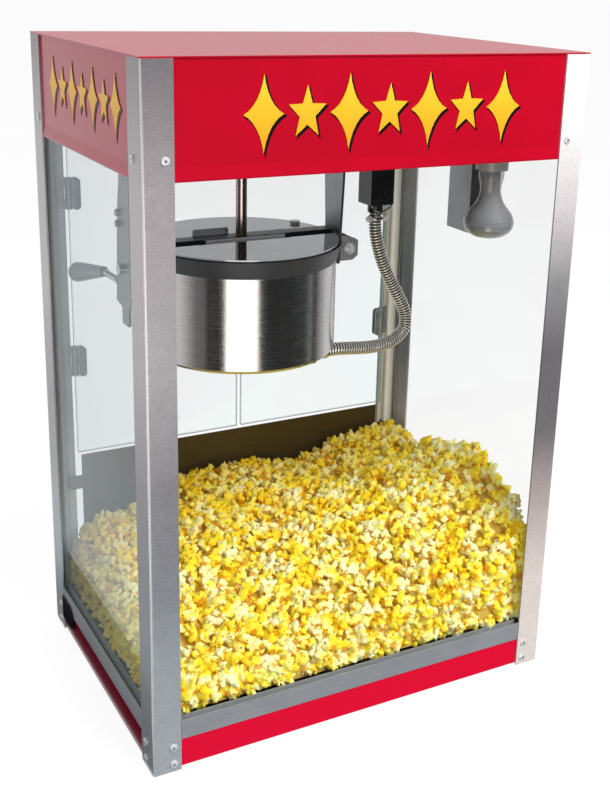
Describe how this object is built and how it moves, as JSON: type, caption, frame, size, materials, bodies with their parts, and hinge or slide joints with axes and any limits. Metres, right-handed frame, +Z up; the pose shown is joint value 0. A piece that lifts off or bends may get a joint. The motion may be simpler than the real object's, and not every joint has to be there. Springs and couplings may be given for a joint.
{
  "type": "popcorn machine",
  "caption": "Countertop popcorn machine: glazed cabinet with red sign panels, tilting kettle on hangers, lamp, rear doors, sifting deck with popcorn heap and kernel tray.",
  "frame": {"origin": "middle of the base on the worktop", "axes": "+Z up, -Y towards the front sign and glass, -X to the left side as seen from the front"},
  "size_m": [0.514, 0.368, 0.75],
  "materials": {
    "steel_post": "satin speckled",
    "pan_steel": "brushed",
    "red_paint": "gloss",
    "black_plastic": "gloss",
    "black_rubber": "matte",
    "glass": "clear",
    "acrylic": "clear",
    "polished": "polished",
    "dark_steel": "dark",
    "board": "dark brushed",
    "brass": "satin",
    "ceramic": "gloss",
    "bulb": "frosted",
    "grip": "satin",
    "heater": "oxidised",
    "red_plastic": "gloss",
    "popcorn": "matte crumb"
  },
  "bodies": {
    "cabinet": {"corner_posts": "steel_post", "base_pan": "pan_steel", "deck_panel": "pan_steel", "skirt_panels": "red_paint", "sill_trims": "steel_post", "corner_clips": "black_plastic", "glass_front": "glass", "glass_left": "glass", "glass_right": "glass", "sign_front": "red_paint", "sign_left": "red_paint", "sign_right": "red_paint", "header_rear": "red_paint", "roof_panel": "red_paint", "canopy_floor": "pan_steel", "rear_board": "board", "corner_screws": "polished", "rubber_feet": "black_rubber", "hinge_leaves": "polished", "hanger_left": "pan_steel", "hanger_right": "pan_steel", "pivot_yoke": "dark_steel", "power_box": "black_plastic", "kettle_conduit": "polished", "gear_motor": "pan_steel", "lamp_bracket": "pan_steel", "lamp_socket": "ceramic", "lamp_bulb": "bulb", "switch_housings": "black_plastic", "power_inlet": "black_plastic", "popcorn_heap": "popcorn"},
    "left_door": {"door_left": "acrylic", "door_hinge_left": "polished", "door_knob_left": "black_plastic"},
    "right_door": {"door_right": "acrylic", "door_hinge_right": "polished", "door_knob_right": "black_plastic"},
    "kettle": {"kettle_shell": "polished", "kettle_pan": "dark_steel", "kettle_rim": "dark_steel", "kettle_base": "pan_steel", "heating_element": "heater", "thermostat": "ceramic", "lid_crossbar": "dark_steel", "lid_hinge_pins": "polished", "shaft_bush": "brass", "trunnion_pins": "polished", "handle_rod": "polished", "handle_grip": "grip", "kettle_gland": "polished"},
    "front_flap": {"front_lid": "polished"},
    "rear_flap": {"rear_lid": "polished"},
    "agitator": {"agitator_shaft": "polished", "agitator_blades": "polished"},
    "drive": {"motor_shaft": "polished", "drive_hub": "dark_steel"},
    "tray": {"kernel_tray": "pan_steel"},
    "kettle_switch": {"rocker_kettle": "red_plastic"},
    "motor_switch": {"rocker_motor": "red_plastic"},
    "lamp_switch": {"rocker_lamp": "red_plastic"}
  },
  "joints": [
    {"name": "left_door_swing", "type": "hinge", "parent": "cabinet", "child": "left_door", "pos_m": [-0.22, 0.173, 0.459], "axis": [0, 0, 1], "range_deg": [0, 88]},
    {"name": "right_door_swing", "type": "hinge", "parent": "cabinet", "child": "right_door", "pos_m": [0.22, 0.173, 0.459], "axis": [0, 0, -1], "range_deg": [0, 88]},
    {"name": "kettle_tilt", "type": "hinge", "parent": "cabinet", "child": "kettle", "pos_m": [-0.074, 0, 0.512], "axis": [1, 0, 0], "range_deg": [0, 80], "deforming": ["kettle_conduit"]},
    {"name": "front_flap_lift", "type": "hinge", "parent": "kettle", "child": "front_flap", "pos_m": [-0.074, -0.0113, 0.5362], "axis": [-1, 0, 0], "range_deg": [0, 80]},
    {"name": "rear_flap_lift", "type": "hinge", "parent": "kettle", "child": "rear_flap", "pos_m": [-0.074, 0.0113, 0.5362], "axis": [1, 0, 0], "range_deg": [0, 75]},
    {"name": "drive_spin", "type": "hinge", "parent": "cabinet", "child": "drive", "pos_m": [-0.074, 0, 0.66], "axis": [0, 0, 1], "continuous": true},
    {"name": "agitator_spin", "type": "hinge", "parent": "kettle", "child": "agitator", "pos_m": [-0.074, 0, 0.5], "axis": [0, 0, 1], "continuous": true},
    {"name": "tray_slide", "type": "slide", "parent": "cabinet", "child": "tray", "axis": [0, 1, 0], "range_m": [0, 0.2]},
    {"name": "kettle_switch_rock", "type": "hinge", "parent": "cabinet", "child": "kettle_switch", "pos_m": [-0.07, 0.176, 0.722], "axis": [-1, 0, 0], "range_deg": [0, 16]},
    {"name": "motor_switch_rock", "type": "hinge", "parent": "cabinet", "child": "motor_switch", "pos_m": [-0.03, 0.176, 0.722], "axis": [-1, 0, 0], "range_deg": [0, 16]},
    {"name": "lamp_switch_rock", "type": "hinge", "parent": "cabinet", "child": "lamp_switch", "pos_m": [0.01, 0.176, 0.722], "axis": [-1, 0, 0], "range_deg": [0, 16]}
  ],
  "couplings": [
    {"joint": "agitator_spin", "follows": "drive_spin", "ratio": 1}
  ]
}
